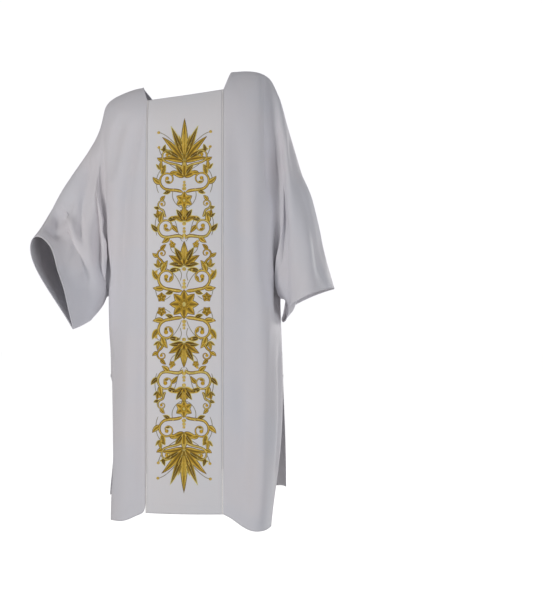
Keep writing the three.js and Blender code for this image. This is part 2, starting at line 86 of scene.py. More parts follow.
# The four side panels: facing, cut size and cut area in metres
SIDE_PANELS = table(
    "node face flat area",
    ("front_side_right_with_sleeve", -1, (0.6, 1.19), 0.299),
    ("front_side_left_with_sleeve", -1, (0.66, 1.22), 0.342),
    ("back_side_right_with_sleeve", 1, (0.62, 1.13), 0.32),
    ("back_side_left_with_sleeve", 1, (0.66, 1.16), 0.326),
)
BANDS = table(
    "node face flat top",
    ("front_band", -1, (0.192, 1.1), -0.141),
    ("back_band", 1, (0.192, 1.09), -0.086),
)
PIPINGS = [
    {"node": f"{end}_piping_{hand}", "band": f"{end}_band", "face": face, "side": side}
    for end, face in (("front", -1), ("back", 1)) for hand, side in (("right", -1), ("left", 1))
]

# Creases of the hanging cloth, each along a line of (x, z) places in millimetres, seen square to
# the front or the back. 'soft' is its half-width on the side towards -x and 'steep' on the side
# towards +x; depth is outwards, so a trough is negative. It fades over 'fade' at both ends.
CREASES = table(
    "panel line soft steep depth fade",
    # front, wearer's right
    (0, [(-112, -110), (-143, -240), (-161, -335), (-176, -526), (-184, -640)], 26, 16, -7.5,
     110),
    (0, [(-160, -104), (-181, -168), (-196, -232), (-200, -300)], 15, 20, -5.5, 60),
    (0, [(-134, -150), (-160, -260), (-178, -400), (-190, -520)], 20, 18, 3, 120),
    (0, [(-232, -190), (-229, -330), (-226, -471), (-212, -590)], 18, 10, -8, 90),
    (0, [(-252, -190), (-266, -300), (-272, -420), (-266, -500)], 20, 16, -7, 80),
    (0, [(-334, -370), (-306, -405), (-288, -477), (-274, -580)], 22, 14, 7, 50),
    (0, [(-372, -352), (-344, -400), (-326, -462)], 15, 15, -6.5, 44),
    (0, [(-310, -300), (-322, -360), (-348, -420)], 15, 13, -4, 50),
    (0, [(-345, -478), (-318, -520), (-300, -590)], 16, 18, -4, 60),
    (0, [(-132, -560), (-140, -760), (-146, -960), (-150, -1200)], 26, 34, 4, 160),
    (0, [(-196, -660), (-204, -840), (-214, -1000), (-226, -1220)], 22, 30, -4, 150),
    # front, wearer's left
    (1, [(212, 60), (219, -60), (222, -200), (226, -380)], 15, 14, -9, 120),
    (1, [(236, -120), (246, -300), (252, -460), (252, -720)], 16, 15, -9, 110),
    (1, [(240, 20), (250, -130), (264, -260), (276, -440)], 14, 18, 3, 100),
    (1, [(128, -120), (142, -260), (150, -420), (152, -640)], 28, 24, -3.5, 150),
    (1, [(176, -210), (184, -420), (186, -640), (182, -820)], 26, 20, 4, 160),
    (1, [(214, -520), (206, -700), (196, -900), (190, -1200)], 30, 18, 5, 140),
    (1, [(148, -760), (154, -940), (158, -1080), (160, -1210)], 22, 26, -4.5, 130),
    (1, [(300, -260), (318, -400), (316, -520), (304, -640)], 22, 30, 5, 90),
    (1, [(338, -420), (346, -500), (340, -590)], 18, 24, -2.5, 70),
    # back, wearer's right
    (2, [(-118, -100), (-140, -240), (-152, -420), (-158, -620)], 22, 26, -5, 130),
    (2, [(-176, -120), (-190, -260), (-196, -400), (-190, -560)], 18, 20, 4, 110),
    (2, [(-230, -180), (-232, -330), (-226, -480), (-216, -590)], 16, 12, -7, 90),
    (2, [(-268, -240), (-292, -360), (-288, -480), (-268, -600)], 18, 22, -6, 90),
    (2, [(-336, -360), (-330, -450), (-306, -560)], 18, 14, 5, 60),
    (2, [(-205, -640), (-214, -820), (-220, -980), (-228, -1160)], 20, 26, -5, 140),
    (2, [(-132, -620), (-130, -780), (-128, -940), (-126, -1150)], 18, 14, -5, 150),
    # back, wearer's left
    (3, [(120, -90), (146, -240), (160, -400), (166, -600)], 26, 20, -5, 130),
    (3, [(218, -60), (224, -200), (226, -330), (228, -470)], 12, 18, -8, 90),
    (3, [(262, -150), (292, -300), (300, -450), (288, -620)], 20, 24, -6, 100),
    (3, [(338, -380), (352, -480), (344, -590)], 18, 20, 5, 70),
    (3, [(188, -420), (196, -640), (200, -860), (196, -1160)], 24, 18, 5, 150),
    (3, [(140, -640), (140, -820), (138, -1000), (136, -1150)], 16, 20, -4, 150),
)
# Creases seen square to a side, each along a line of (y, z) places, only where the cloth is
# further than 'beyond' from the middle line
SIDE_CREASES = table(
    "panel beyond line soft steep depth fade",
    (1, 262, [(-34, -110), (-58, -260), (-76, -420), (-84, -610)], 18, 14, -3.5, 100),
    (1, 262, [(-14, -240), (-26, -380), (-34, -540)], 14, 17, 2.2, 70),
    (3, 262, [(38, -120), (58, -280), (70, -440), (70, -600)], 12, 18, -8, 80),
    (3, 262, [(18, -300), (26, -430), (26, -560)], 14, 12, 4, 60),
    (1, 190, [(-52, -690), (-64, -860), (-76, -1120)], 22, 16, -6, 110),
    (3, 190, [(62, -680), (84, -860), (96, -1110)], 18, 24, -7, 120),
    (0, 262, [(-40, -170), (-62, -270), (-96, -380), (-128, -470)], 14, 16, -6, 60),
    (0, 300, [(-60, -420), (-96, -470), (-130, -520)], 12, 12, 5, 40),
    (2, 262, [(40, -190), (34, -300), (4, -420), (-30, -520)], 16, 14, -8, 70),
    (2, 300, [(10, -300), (-16, -400), (-60, -480)], 12, 14, -5, 50),
    (0, 190, [(-58, -700), (-66, -880), (-72, -1120)], 16, 22, -6, 110),
    (2, 190, [(56, -700), (78, -860), (88, -1080)], 22, 16, -6, 110),
)
BAND_WAVES = table(
    "face z slant width depth",
    (-1, -330, 0.12, 60, 0.9),
    (-1, -610, -0.2, 80, -1.1),
    (-1, -880, 0.16, 70, 1.0),
    (1, -300, -0.15, 70, -1.0),
    (1, -560, 0.18, 80, 1.1),
    (1, -840, -0.12, 70, -0.9),
)

# ---- The embroidery's own design ----
# Millimetres from the middle of the band: u across it and v along it. Every row is mirrored in u
# and in v, so the tables hold a quarter of the design. Tones run from 0, dark bronze, to 0.85,
# pale gold; tone 1 is the grey-olive line thread.
DESIGN_HALF = 482
CENTRE_REACH = 34  # strokes on the middle line and nearer the centre than this aren't mirrored

# A scroll is a stem from one place, bending towards a spiral. start is the angle on the spiral
# where the stem meets it, and hand is 1 for a spiral that turns towards the left.
SCROLLS = table(
    "from lean centre radius start turns hand width tone",
    ((4, 34), 0, (43, 68), 28, -80, 1.35, 1, 9, 0.5),
    ((2, 166), 64, (45, 198), 26, -60, 1.3, 1, 8.4, 0.62),
    ((44, 98), 10, (56, 130), 15, -60, 1.2, 1, 6.4, 0.34),
    ((3, 286), 30, (42, 320), 25, -70, 1.35, 1, 8, 0.46),
    ((46, 224), 20, (56, 257), 14, -80, 1.25, 1, 6, 0.66),
    ((4, 350), 40, (42, 384), 18, -60, 1.2, 1, 6.8, 0.6),
)

# Leaves that grow out of a scroll: where along it, which side, length, width, angle off the line
LEAVES = table(
    "scroll at side length width angle tone",
    (0, 0.1, -1, 24, 12, 46, 0.16),
    (0, 0.2, -1, 30, 13, 40, 0.66),
    (0, 0.3, -1, 32, 14, 36, 0.42),
    (0, 0.4, -1, 34, 14, 38, 0.74),
    (0, 0.5, -1, 32, 13, 40, 0.16),
    (0, 0.6, 1, 18, 8, 44, 0.66),
    (0, 0.8, 1, 13, 7, 50, 0.16),
    (1, 0.14, -1, 24, 12, 44, 0.66),
    (1, 0.25, -1, 28, 13, 38, 0.16),
    (1, 0.36, -1, 30, 13, 36, 0.76),
    (1, 0.47, -1, 30, 13, 40, 0.16),
    (1, 0.58, -1, 24, 10, 44, 0.62),
    (1, 0.72, 1, 14, 7, 46, 0.5),
    (2, 0.25, -1, 18, 9, 42, 0.7),
    (2, 0.45, -1, 20, 9, 42, 0.5),
    (3, 0.14, -1, 22, 11, 42, 0.16),
    (3, 0.26, -1, 28, 12, 38, 0.72),
    (3, 0.37, -1, 28, 12, 38, 0.44),
    (3, 0.48, -1, 26, 11, 40, 0.68),
    (3, 0.7, 1, 14, 7, 46, 0.16),
    (4, 0.25, -1, 16, 9, 40, 0.16),
    (4, 0.45, -1, 18, 9, 40, 0.7),
    (5, 0.22, -1, 20, 10, 38, 0.66),
    (5, 0.38, -1, 22, 10, 40, 0.16),
)

# Fans of petals: foot, lean off the middle line, how many on each side of the middle petal,
# spread, lengths and width
FANS = table(
    "at lean count spread long short width curl tone",
    ((0, 98), 0, 3, 74, 64, 40, 19, 26, 0.5),
    ((0, 110), 0, 1, 26, 42, 34, 12, 8, 0.8),
    ((0, 212), 0, 2, 60, 42, 34, 17, 20, 0.44),
    ((0, 220), 0, 1, 22, 28, 24, 10, 6, 0.8),
    ((0, 326), 0, 2, 62, 48, 38, 17, 22, 0.58),
    ((0, 366), 0, 4, 70, 114, 62, 18, 34, 0.56),
    ((0, 380), 0, 2, 26, 66, 52, 12, 8, 0.78),
    ((64, 94), -12, 1, 38, 24, 19, 9, 14, 0.62),
    ((66, 222), -8, 1, 38, 22, 18, 9, 14, 0.4),
    ((62, 346), 6, 1, 38, 26, 20, 9, 14, 0.66),
)

# Round flowers: petals in rings round a boss
ROSETTES = table(
    "at radius petals width tone",
    ((0, 0), 38, 8, 22, 0.56),
    ((0, 266), 23, 6, 17, 0.66),
    ((58, 18), 13, 5, 11, 0.5),
    ((30, 152), 9, 5, 8, 0.66),
)

# Thin tendrils in the line thread, each a curve of four places
TENDRILS = [
    [(6, 40), (22, 92), (60, 104), (72, 84)],
    [(34, 22), (58, 2), (70, 8), (74, 40)],
    [(4, 160), (20, 178), (16, 210), (30, 222)],
    [(70, 176), (78, 200), (76, 226), (62, 236)],
    [(2, 246), (24, 250), (36, 276), (28, 292)],
    [(66, 286), (76, 306), (74, 334), (58, 348)],
    [(4, 340), (30, 350), (60, 372), (66, 404)],
    [(10, 398), (30, 420), (48, 440), (66, 444)],
    [(8, 128), (26, 124), (40, 140), (34, 160)],
    [(10, 60), (2, 80), (10, 90), (20, 88)],
]
# Berries as u, v and radius, and dots on the middle line as v and radius
BERRIES = [(72, 84, 3.6), (74, 41, 3.6), (31, 223, 3.4), (62, 236, 3.6), (28, 293, 3.4),
           (58, 349, 3.4), (66, 405, 3.8), (67, 444, 3.8), (34, 161, 3.4), (20, 88, 3)]
STEM_DOTS = [(44, 5), (53, 4.2), (61, 3.4), (90, 5), (176, 5.2), (186, 4.4), (194, 3.6), (206, 5),
             (296, 5.2), (305, 4.4), (313, 3.6), (360, 5)]


# ---- Settings ----
COLOUR = {"min": 0, "max": 1, "subtype": "COLOR"}


class DalmaticClothSettings(bpy.types.PropertyGroup):
    thickness: FloatProperty(
        name="Cloth thickness", description="Thickness of the side panels and bands",
        default=1.4 * MM, min=0.5 * MM, max=3 * MM, unit="LENGTH",
    )
    detail: IntProperty(
        name="Detail", description="Times that each CAD cell is halved", default=3, min=1, max=3,
    )
    creases: FloatProperty(
        name="Creases", description="Strength of the soft creases", default=1.85, min=0, max=2,
        subtype="FACTOR",
    )
    hem: FloatProperty(
        name="Hem depth", description="Width of the turned hem and cuff", default=24 * MM,
        min=5 * MM, max=60 * MM, unit="LENGTH",
    )
    cloth_colour: FloatVectorProperty(
        name="Cloth colour", description="Colour of the side panels", default=(0.80, 0.79, 0.82),
        **COLOUR,
    )
    band_colour: FloatVectorProperty(
        name="Band colour", description="Colour of the satin bands", default=(0.86, 0.85, 0.86),
        **COLOUR,
    )
    piping_colour: FloatVectorProperty(
        name="Piping colour", description="Colour of the piping", default=(0.94, 0.91, 0.90),
        **COLOUR,
    )


class DalmaticEmbroiderySettings(bpy.types.PropertyGroup):
    relief: FloatProperty(
        name="Relief", description="Height of the thickest stitching", default=1.5 * MM,
        min=0.3 * MM, max=3 * MM, unit="LENGTH",
    )
    dark: FloatVectorProperty(
        name="Dark thread", description="Colour of the darkest gold", default=(0.10, 0.042, 0.003),
        **COLOUR,
    )
    middle: FloatVectorProperty(
        name="Gold thread", description="Colour of the main gold", default=(1.0, 0.62, 0.05),
        **COLOUR,
    )
    bright: FloatVectorProperty(
        name="Bright thread", description="Colour of the brightest gold",
        default=(1.0, 0.92, 0.34), **COLOUR,
    )
    line: FloatVectorProperty(
        name="Line thread", description="Colour of the thin tendrils", default=(0.36, 0.33, 0.22),
        **COLOUR,
    )


class DalmaticStageSettings(bpy.types.PropertyGroup):
    floor: FloatProperty(
        name="Floor height", description="Height of the floor below the neck", default=-1.5,
        max=-1.25, unit="LENGTH",
    )
    key: FloatProperty(
        name="Key light", description="Power of the main front light in watts", default=33, min=0,
    )
    world: FloatProperty(
        name="Room light", description="Strength of the surrounding light", default=0.22, min=0,
    )
    glow: FloatProperty(
        name="Floor glow", description="Light that the floor itself gives", default=0.1, min=0,
    )


# ---- Small helpers ----
def smooth(value, low, high):
    t = np.clip((value - low) / (high - low), 0, 1)
    return t * t * (3 - 2 * t)


def mesh_points(mesh):
    points = np.zeros(len(mesh.vertices) * 3)
    mesh.vertices.foreach_get("co", points)
    return points.reshape(-1, 3)


def set_points(mesh, points):
    mesh.vertices.foreach_set("co", points.ravel())
    mesh.update()


def mesh_normals(mesh):
    return np.array([v.normal[:] for v in mesh.vertices])


def finished_mesh(bm, name):
    mesh = bpy.data.meshes.new(name)
    bm.to_mesh(mesh)
    bm.free()
    return mesh


def face_outward(sheet, towards):
    """Turns the sheet so that its faces point along y by the sign of towards; its normals."""
    normals = mesh_normals(sheet)
    if (normals[:, 1] * towards).sum() < 0:
        sheet.flip_normals()
        normals = -normals
    return normals


def run_lengths(points):
    """The distance along a line to each of its points."""
    return np.concatenate([[0], np.cumsum(np.linalg.norm(np.diff(points, axis=0), axis=1))])


def unit(vectors):
    return vectors / np.maximum(np.linalg.norm(vectors, axis=1), 1e-9)[:, None]


def add_object(name, data):
    piece = bpy.data.objects.new(name, data)
    bpy.context.scene.collection.objects.link(piece)
    return piece


def subdivided(mesh, levels, name):
    piece = add_object(name, mesh)
    made = piece.modifiers.new("Smooth", "SUBSURF")
    made.levels = made.render_levels = levels
    made.boundary_smooth = "PRESERVE_CORNERS"
    graph = bpy.context.evaluated_depsgraph_get()
    result = bpy.data.meshes.new_from_object(piece.evaluated_get(graph))
    bpy.data.objects.remove(piece)
    return result


def outer_sheet(bm, node, face, mark):
    """Adds the outer sheet of a CAD wall to bm, in quads, marked with a material index."""
    wall = bmesh.new()
    wall.from_mesh(bpy.data.objects[node].data)
    bmesh.ops.remove_doubles(wall, verts=wall.verts[:], dist=0.01 * MM)
    rim = [f for f in wall.faces if min(e.calc_length() for e in f.edges) < RIM_EDGE]
    bmesh.ops.delete(wall, geom=rim, context="FACES")
    wall.faces.ensure_lookup_table()
    left, sheets = set(wall.faces), []
    while left:
        sheet = [left.pop()]
        for reached in sheet:
            beside = {other for e in reached.edges for other in e.link_faces} & left
            left -= beside
            sheet.extend(beside)
        sheets.append(sheet)
    if len(sheets) != 2:
        raise RuntimeError(f"{node} has {len(sheets)} sheets in place of 2")
    facing = [sum(f.normal.y * f.calc_area() for f in sheet) * face for sheet in sheets]
    bmesh.ops.delete(wall, geom=sheets[facing.index(min(facing))], context="FACES")
    bmesh.ops.join_triangles(
        wall, faces=wall.faces[:], angle_face_threshold=math.pi, angle_shape_threshold=math.pi
    )
    for f in wall.faces:
        f.material_index = mark
    part = finished_mesh(wall, "part")
    bm.from_mesh(part)
    bpy.data.meshes.remove(part)


def boundary_runs(mesh):
    """The ends of the sheet's open edges, and of its edges between two panels."""
    bm = bmesh.new()
    bm.from_mesh(mesh)
    runs, sewn = [], []
    for e in bm.edges:
        pair = tuple(np.array(v.co) for v in e.verts)
        if e.is_boundary:
            runs.append(pair)
        elif len({f.material_index for f in e.link_faces}) > 1:
            sewn.append(pair)
    bm.free()
    return runs, sewn


def edge_kind(a, b):
    """Which edge of the garment an open edge of the side panels is."""
    middle = (a + b) / 2
    if max(abs(a[0]), abs(b[0])) < SEAM_X + EDGE_TOLERANCE:
        return "band"
    if abs(middle[0]) < NECK_X and middle[2] > NECK_Z:
        return "neck"
    if middle[2] > SLIT_Z:
        return "cuff"
    along = np.abs(b - a)
    return "slit" if along[2] > math.hypot(along[0], along[1]) else "hem"


def distances(points, segments):
    """Distance from each point to the nearest of some short straight segments."""
    if not segments:
        return np.full(len(points), 1.0)
    starts = np.array([s[0] for s in segments])
    ends = np.array([s[1] for s in segments])
    tree = KDTree(len(segments))
    for at, middle in enumerate((starts + ends) / 2):
        tree.insert(middle, at)
    tree.balance()
    found = np.zeros(len(points))
    for at, point in enumerate(points):
        near = [row[1] for row in tree.find_n(point, 3)]
        a, line = starts[near], ends[near] - starts[near]
        share = np.clip(((point - a) * line).sum(1) / np.maximum((line * line).sum(1), 1e-12), 0, 1)
        found[at] = np.linalg.norm(a + line * share[:, None] - point, axis=1).min()
    return found


def crease_depth(points, crease, across=0):
    """How far a crease pushes each point outwards, seen along y or, with across 1, along x."""
    line = np.array(crease["line"], float) * MM
    fine = []  # a smooth curve through the given places
    for at in range(len(line) - 1):
        before, after = line[max(at - 1, 0)], line[min(at + 2, len(line) - 1)]
        for t in np.linspace(0, 1, 8, endpoint=False):
            a, b = line[at], line[at + 1]
            square, cube = 2 * before - 5 * a + 4 * b - after, 3 * a - before - 3 * b + after
            fine.append(0.5 * (2 * a + (b - before) * t + square * t**2 + cube * t**3))
    fine.append(line[-1])
    fine = np.array(fine)
    steps, so_far = np.diff(fine, axis=0), run_lengths(fine)
    lengths = np.diff(so_far)
    flat = points[:, [across, 2]]
    best = np.full(len(points), 9.0)
    signed, along = np.zeros(len(points)), np.zeros(len(points))
    for at, step in enumerate(steps):
        off = flat - fine[at]
        share = np.clip((off @ step) / lengths[at] ** 2, 0, 1)
        gap = off - share[:, None] * step
        away = np.linalg.norm(gap, axis=1)
        nearer = away < best
        best[nearer] = away[nearer]
        signed[nearer] = np.sign(gap[nearer, 0]) * away[nearer]
        along[nearer] = so_far[at] + share[nearer] * lengths[at]
    width = np.where(signed < 0, crease["soft"], crease["steep"]) * MM
    total, fade = so_far[-1], crease["fade"] * MM
    ends = smooth(along, 0, fade) * smooth(total - along, 0, fade)
    return crease["depth"] * MM * np.exp(-((best / width) ** 2)) * ends


def set_attribute(mesh, name, values):
    layer = mesh.attributes.get(name) or mesh.attributes.new(name, "FLOAT", "POINT")
    layer.data.foreach_set("value", np.asarray(values, np.float32))


def split_off(mesh, mark, name):
    """The faces of one material index, as a mesh of their own with index 0."""
    bm = bmesh.new()
    bm.from_mesh(mesh)
    bmesh.ops.delete(bm, geom=[f for f in bm.faces if f.material_index != mark], context="FACES")
    for f in bm.faces:
        f.material_index = 0
        f.smooth = True
    return finished_mesh(bm, name)


def thin_wall(piece, thickness):
    made = piece.modifiers.new("Thickness", "SOLIDIFY")
    made.thickness = thickness
    made.offset = -1


def dress(piece, slot, material, *nodes):
    piece.data.materials.clear()
    piece.data.materials.append(material)
    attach(piece, BODY)
    if nodes:
        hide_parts(*nodes)


# ---- Materials ----
class Nodes:
    """Short calls for building a node tree."""

    def __init__(self, tree):
        self.tree = tree

    def shade(self, **principled):
        shader = self.tree.nodes["Principled BSDF"]
        for name, given in principled.items():
            self.put(shader.inputs[name.replace("_", " ")], given)

    def add(self, kind, **settings):
        node = self.tree.nodes.new(kind)
        for key, value in settings.items():
            if key == "inputs":
                for name, given in value.items():
                    self.put(node.inputs[name], given)
            else:
                setattr(node, key, value)
        return node

    def put(self, socket, given):
        if isinstance(given, bpy.types.NodeSocket):
            self.tree.links.new(given, socket)
        else:
            socket.default_value = given

    def math(self, operation, *values):
        given = dict(enumerate(values))
        return self.add("ShaderNodeMath", operation=operation, inputs=given).outputs[0]

    def plus(self, first, second):
        return self.math("ADD", first, second)

    def minus(self, first, second):
        return self.math("SUBTRACT", first, second)

    def times(self, first, second):
        return self.math("MULTIPLY", first, second)

    def wave(self, value, rate):
        return self.math("SINE", self.times(value, rate))

    def between(self, value, low, high, out_low=0.0, out_high=1.0):
        given = {"Value": value, "From Min": low, "From Max": high, "To Min": out_low,
                 "To Max": out_high}
        node = self.add("ShaderNodeMapRange", interpolation_type="SMOOTHSTEP", inputs=given)
        return node.outputs[0]

    def attribute(self, name):
        return self.add("ShaderNodeAttribute", attribute_name=name).outputs["Fac"]

    def place(self):
        return self.add("ShaderNodeTexCoord").outputs["Object"]

    def uv(self, name):
        return self.parts(self.add("ShaderNodeUVMap", uv_map=name).outputs[0])

    def parts(self, vector):
        return self.add("ShaderNodeSeparateXYZ", inputs={0: vector}).outputs

    def noise(self, place, scale, detail=2.0):
        given = {"Vector": place, "Scale": scale, "Detail": detail}
        return self.add("ShaderNodeTexNoise", inputs=given).outputs[0]

    def bump(self, strength, distance, height, **under):
        given = {"Strength": strength, "Distance": distance, "Height": height, **under}
        return self.add("ShaderNodeBump", inputs=given).outputs[0]

    def mix(self, factor, first, second):
        given = {0: factor, 6: first, 7: second}
        return self.add("ShaderNodeMix", data_type="RGBA", inputs=given).outputs[2]

    def seen(self, by_light, by_camera):
        camera = self.add("ShaderNodeLightPath").outputs["Is Camera Ray"]
        return self.between(camera, 0.0, 1.0, by_light, by_camera)

    def group(self, tree, given):
        return self.add("ShaderNodeGroup", node_tree=tree, inputs={0: given}).outputs


def new_material(name, **principled):
    material = bpy.data.materials.new(name)
    material.use_nodes = True
    nodes = Nodes(material.node_tree)
    nodes.shade(**principled)
    return material, nodes


def node_group(name, given, outputs, fill):
    """A node group with one input, made once. fill gives the sockets for its outputs."""
    tree = bpy.data.node_groups.get(name)
    if tree is None:
        tree = bpy.data.node_groups.new(name, "ShaderNodeTree")
        for way, names in (("INPUT", [given]), ("OUTPUT", outputs)):
            for socket in names:
                tree.interface.new_socket(name=socket, in_out=way, socket_type="NodeSocketFloat")
        nodes = Nodes(tree)
        filled = fill(nodes, nodes.add("NodeGroupInput").outputs[0])
        out = nodes.add("NodeGroupOutput")
        for at, socket in enumerate(filled):
            nodes.put(out.inputs[at], socket)
    return tree


def weave(nodes, threads):
    """The height of a fine plain weave and a soft cloudiness of the dye."""
    place = nodes.place()
    x, y, z = nodes.parts(place)
    turn = nodes.times(threads, 2 * math.pi)
    # warp threads stay apart where the cloth turns from facing y to facing x
    across = nodes.plus(x, nodes.times(y, 0.83))
    height = nodes.times(nodes.wave(across, turn), nodes.wave(z, turn))
    slubs = nodes.times(nodes.noise(place, 900.0), 1.2)
    return nodes.plus(height, slubs), nodes.noise(place, 5.0, 3.0)


def sewn_edges(nodes, hem):
    """The height of turned edges, pressed seams and their rows of stitches."""
    turns = [(nodes.attribute("from_hem"), hem), (nodes.attribute("from_slit"), SLIT_TURN),
             (nodes.attribute("from_neck"), NECK_TURN)]
    height = 0.0
    for away, turn in turns:
        folded = nodes.between(away, nodes.minus(turn, TURN_STEP), turn, 1.0, 0.0)
        height = nodes.math("MAXIMUM", height, folded)
    x, y, z = nodes.parts(nodes.place())
    dash = nodes.between(nodes.wave(nodes.plus(nodes.plus(x, y), z), 1900.0), -0.5, 0.1)
    for away, turn in turns:
        off = nodes.math("ABSOLUTE", nodes.minus(away, nodes.minus(turn, STITCH_INSET)))
        stitch = nodes.times(nodes.between(off, 0.0, 0.9 * MM, 1.0, 0.0), dash)
        height = nodes.minus(height, nodes.times(stitch, 0.8))
    pressed = nodes.between(nodes.attribute("from_seam"), 0.0, 2.2 * MM, 1.0, 0.0)
    return [nodes.minus(height, nodes.times(pressed, 1.4))]


def shaded(colour, red, green, blue):
    return (colour[0] * red, colour[1] * green, colour[2] * blue, 1.0)


def cloth_material(name, colour, roughness, threads, weave_depth, hem, sheen, specular):
    material, nodes = new_material(name, Sheen_Weight=sheen, Sheen_Roughness=0.5,
                                   Specular_IOR_Level=specular)
    woven = node_group("cloth_weave", "Threads per metre", ("Height", "Cloud"), weave)
    height, cloud = nodes.group(woven, threads)
    warm, cool = shaded(colour, 1.01, 0.985, 0.985), shaded(colour, 0.965, 0.975, 1.0)
    tint = nodes.mix(nodes.between(cloud, 0.35, 0.65), warm, cool)
    # painted shade in the weave: the colour is a little lighter on the raised threads and slubs and
    # darker between them
    fine = nodes.times(nodes.between(height, -0.6, 1.6), 0.5)
    tint = nodes.mix(fine, tint, shaded(colour, 1, 1, 1))
    # painted shade along the seams: near a seam the colour is mixed towards a darker copy of itself
    seam = nodes.between(nodes.attribute("from_seam"), 0.0, 1.6 * MM, 0.22, 0.0)
    sewn = node_group("sewn_edges", "Hem", ("Height",), sewn_edges)
    edges = nodes.bump(0.5, 0.6 * MM, nodes.group(sewn, hem)[0])
    nodes.shade(
        Base_Color=nodes.mix(seam, tint, shaded(colour, 0.6, 0.6, 0.63)),
        Roughness=nodes.between(cloud, 0.3, 0.7, roughness - 0.05, roughness + 0.05),
        Normal=nodes.bump(0.35, weave_depth, height, Normal=edges),
    )
    return material


def piping_material(colour):
    material, nodes = new_material("piping_cord", Roughness=0.45, Specular_IOR_Level=0.5)
    around, along, _ = nodes.uv("run")
    slant = nodes.plus(nodes.times(around, 2 * math.pi), nodes.times(along, 2600.0))
    strand = nodes.math("SINE", slant)
    # painted shade between the cord's twisted strands: the colour darkens where the strands dip
    tint = nodes.mix(nodes.between(strand, -1.0, 0.4), shaded(colour, 0.93, 0.93, 0.93),
                     shaded(colour, 1, 1, 1))
    nodes.shade(Base_Color=tint, Normal=nodes.bump(0.6, 0.3 * MM, strand))
    return material


def thread_material(settings):
    material, nodes = new_material("gold_stitching", Metallic=0.35, Specular_IOR_Level=0.5)
    ramp = nodes.add("ShaderNodeValToRGB", inputs={0: nodes.attribute("tone")})
    stops = ramp.color_ramp.elements
    stops[0].position, stops[0].color = 0.0, (*settings.dark, 1)
    stops[1].position, stops[1].color = 1.0, (*settings.line, 1)
    for position, colour in ((0.5, settings.middle), (0.86, settings.bright)):
        stops.new(position).color = (*colour, 1)
    across, along, _ = nodes.uv("thread")
    lie = nodes.plus(along, nodes.times(across, 0.35))
    thread = nodes.wave(lie, 2 * math.pi / THREAD_PITCH)
    patch = nodes.noise(nodes.place(), 160.0)
    shade = nodes.plus(nodes.between(thread, -1.0, 1.0, 0.0, 0.22),
                       nodes.between(patch, 0.4, 0.7, 0.0, 0.28))
    nodes.shade(
        Base_Color=nodes.mix(shade, ramp.outputs[0], shaded(settings.middle, 0.4, 0.4, 0.4)),
        Roughness=nodes.between(patch, 0.3, 0.7, 0.32, 0.46),
        Normal=nodes.bump(0.7, 0.2 * MM, thread),
    )
    return material


# ---- Embroidery strokes ----
PROFILES = {
    "leaf": lambda t: np.sin(np.pi * t**0.72) ** 0.8,
    "stem": lambda t: (1 - 0.72 * t) * np.minimum(1, t / 0.06) ** 0.5,
    "even": lambda t: np.minimum(1, np.minimum(t, 1 - t) / 0.05) ** 0.5,
    "round": lambda t: np.sqrt(np.maximum(0, 1 - (2 * t - 1) ** 2)),
}
CROSS = np.array([-1, -0.55, 0, 0.55, 1])
DOMED = np.array([0, 0.85, 1, 0.85, 0])
VEINED = np.array([0, 0.9, 0.3, 0.9, 0])
LEAST_HALF = 0.25  # millimetres, half the width of a stroke's end


def curve(a, b, c, d, count=20):
    t = np.linspace(0, 1, count)[:, None]
    a, b, c, d = (np.array(p, float) for p in (a, b, c, d))
    return (1 - t) ** 3 * a + 3 * (1 - t) ** 2 * t * b + 3 * (1 - t) * t**2 * c + t**3 * d


def direction(degrees):
    return np.array([math.cos(math.radians(degrees)), math.sin(math.radians(degrees))])


def new_stroke(line, width, profile, lift, edge, core, veined=False):
    return {"line": line, "width": width, "profile": profile, "lift": lift, "edge": edge,
            "core": core, "veined": veined}


def scroll_line(row):
    """The stem and spiral of a scroll as one line."""
    centre, radius = np.array(row["centre"], float), row["radius"]
    steps = int(44 * row["turns"])
    turn = np.linspace(0, row["turns"], steps)
    angle = np.radians(row["start"] + row["hand"] * 360 * turn)
    reach = radius * (1 - 0.84 * (turn / row["turns"]) ** 0.8)
    spiral = centre + np.stack([np.cos(angle), np.sin(angle)], 1) * reach[:, None]
    start = np.array(row["from"], float)
    away = np.linalg.norm(spiral[0] - start)
    along = direction(row["start"] + 90 * row["hand"])
    stem = curve(start, start + direction(row["lean"]) * away * 0.4, spiral[0] - along * away * 0.4,
                 spiral[0], 14)
    return np.concatenate([stem[:-1], spiral])


def leaf_line(foot, degrees, length, curl):
    """A line from a foot in one direction, whose tip curls by some degrees."""
    t = np.linspace(0, 1, 18)
    heading = np.radians(degrees + curl * t**1.5)
    step = np.stack([np.cos(heading), np.sin(heading)], 1) * length / 17
    return np.array(foot, float) + np.concatenate([[[0, 0]], np.cumsum(step[:-1], axis=0)])


def petal(strokes, foot, degrees, length, width, curl, tone, lift=1.0):
    """A veined petal with a light or dark edge line."""
    line = leaf_line(foot, degrees, length, curl)
    rim = 0.85 if tone < 0.45 else 0.08
    strokes.append(new_stroke(line, width + 1.8, "leaf", 0.35 * lift, rim, rim))
    strokes.append(
        new_stroke(line[1:-1], width - 0.8, "leaf", lift, tone + 0.2, tone - 0.6, veined=True)
    )


def dot(strokes, place, radius, tone, lift=0.9):
    u, v = place
    line = np.array([(u, v - radius + 2 * radius * k / 9) for k in range(10)])
    strokes.append(new_stroke(line, 2 * radius, "round", lift, tone - 0.2, tone + 0.1))


